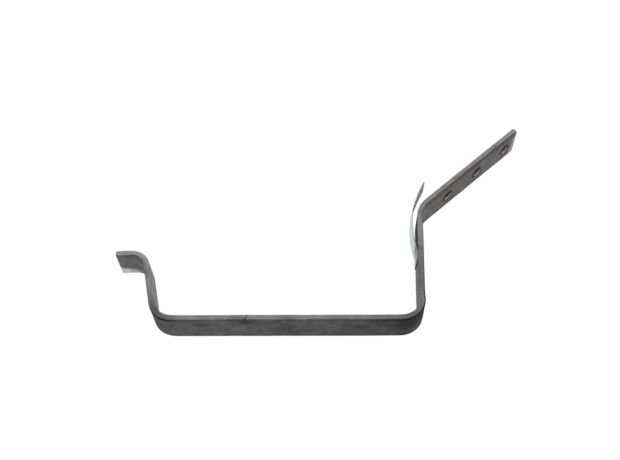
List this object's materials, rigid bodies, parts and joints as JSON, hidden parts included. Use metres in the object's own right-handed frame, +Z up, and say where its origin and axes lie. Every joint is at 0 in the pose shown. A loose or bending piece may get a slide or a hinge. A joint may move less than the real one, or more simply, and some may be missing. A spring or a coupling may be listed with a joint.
{
  "type": "gutter bracket",
  "caption": "Bent flat-bar bracket that carries a box gutter, with a front lip, a sloping screw arm and a thin spring strip.",
  "frame": {"origin": "middle of the seat face that the gutter rests on", "axes": "+X from the front lip to the roof arm, +Y across the bar, +Z up, at right angles to the seat face"},
  "size_m": [0.3694, 0.03, 0.2065],
  "materials": {
    "galvanised_bar": "dull weathered grey zinc with streaks along the bar",
    "spring_sheet": "bright new zinc, cool and slightly satin"
  },
  "bodies": {
    "root": {"bar": "galvanised_bar", "spring_strip": "spring_sheet"}
  },
  "joints": []
}
